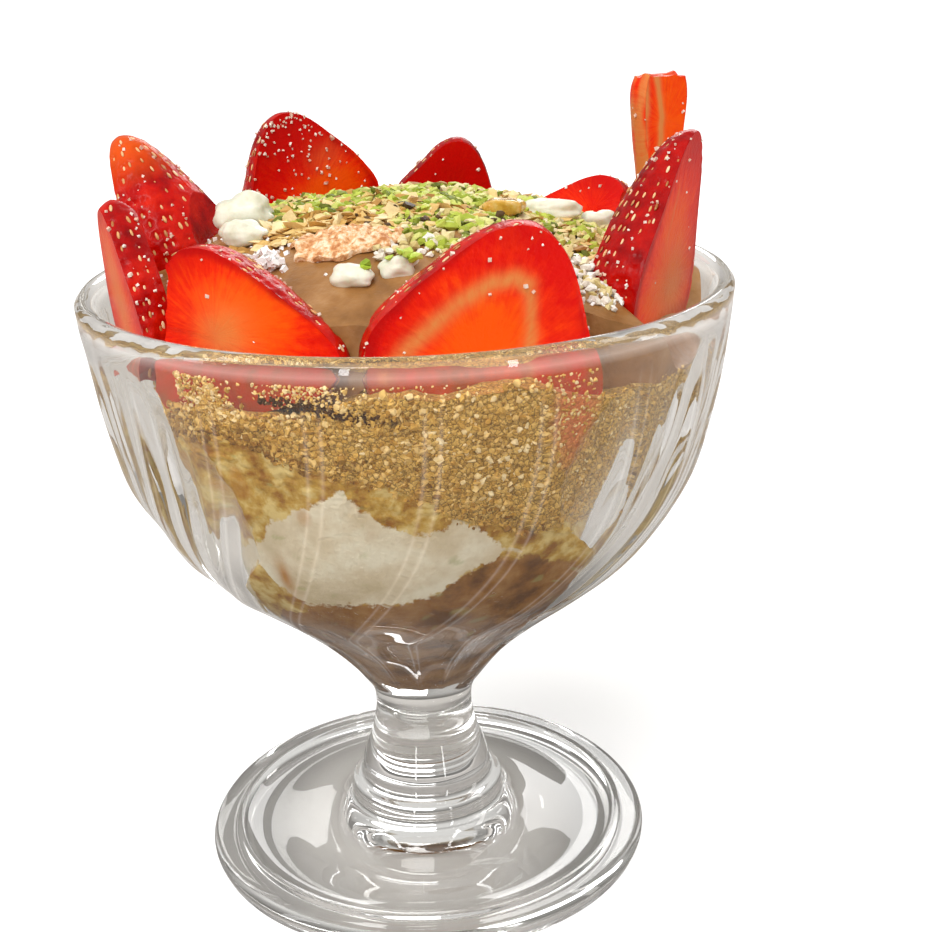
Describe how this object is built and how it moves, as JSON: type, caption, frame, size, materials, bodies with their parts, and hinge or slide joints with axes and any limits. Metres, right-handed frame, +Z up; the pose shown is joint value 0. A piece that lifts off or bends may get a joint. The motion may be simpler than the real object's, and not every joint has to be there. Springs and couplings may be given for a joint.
{
  "type": "cup of gelato",
  "caption": "Footed fluted glass filled with cream, sponge, biscuit crumbs and chocolate gelato, ringed by cut strawberries and topped with chopped nuts.",
  "frame": {"origin": "centre of the foot's flat underside, on the surface that the glass stands on", "axes": "+Z up along the glass's axis; -Y towards the front, the side with the two largest strawberry slices; +X to the right as seen from the front"},
  "size_m": [0.1114, 0.1114, 0.14],
  "materials": {
    "clear_glass": "clear pressed glass, fluted outside, glossy",
    "chocolate_cream": "smooth chocolate cream, wet against the glass",
    "white_cream": "soft warm white cream, satin",
    "sponge": "golden soaked sponge and caramel, moist",
    "biscuit_crumbs": "coarse dry biscuit crumbs",
    "gelato": "smooth milk chocolate gelato, softly glossy, with chopped nuts stuck in it",
    "strawberry": "fresh cut strawberry, wet cut face and seeded glossy skin",
    "biscuit_flake": "crisp sugared flake",
    "candied_fruit": "translucent amber candied fruit",
    "sugar_crystal": "glossy clear sugar crystal"
  },
  "bodies": {
    "root": {"glass": "clear_glass", "chocolate_cream": "chocolate_cream", "white_cream": "white_cream", "sponge_layer": "sponge", "crumb_layer": "biscuit_crumbs", "gelato_dome": "gelato", "strawberry_1": "strawberry", "strawberry_2": "strawberry", "strawberry_3": "strawberry", "strawberry_4": "strawberry", "strawberry_5": "strawberry", "strawberry_6": "strawberry", "strawberry_7": "strawberry", "strawberry_8": "strawberry", "strawberry_9": "strawberry", "white_piece_1": "white_cream", "white_piece_2": "white_cream", "white_piece_3": "white_cream", "white_piece_4": "white_cream", "white_piece_5": "white_cream", "white_piece_6": "white_cream", "biscuit_flake": "biscuit_flake", "amber_piece": "candied_fruit", "sugar_crystal": "sugar_crystal"}
  },
  "joints": []
}
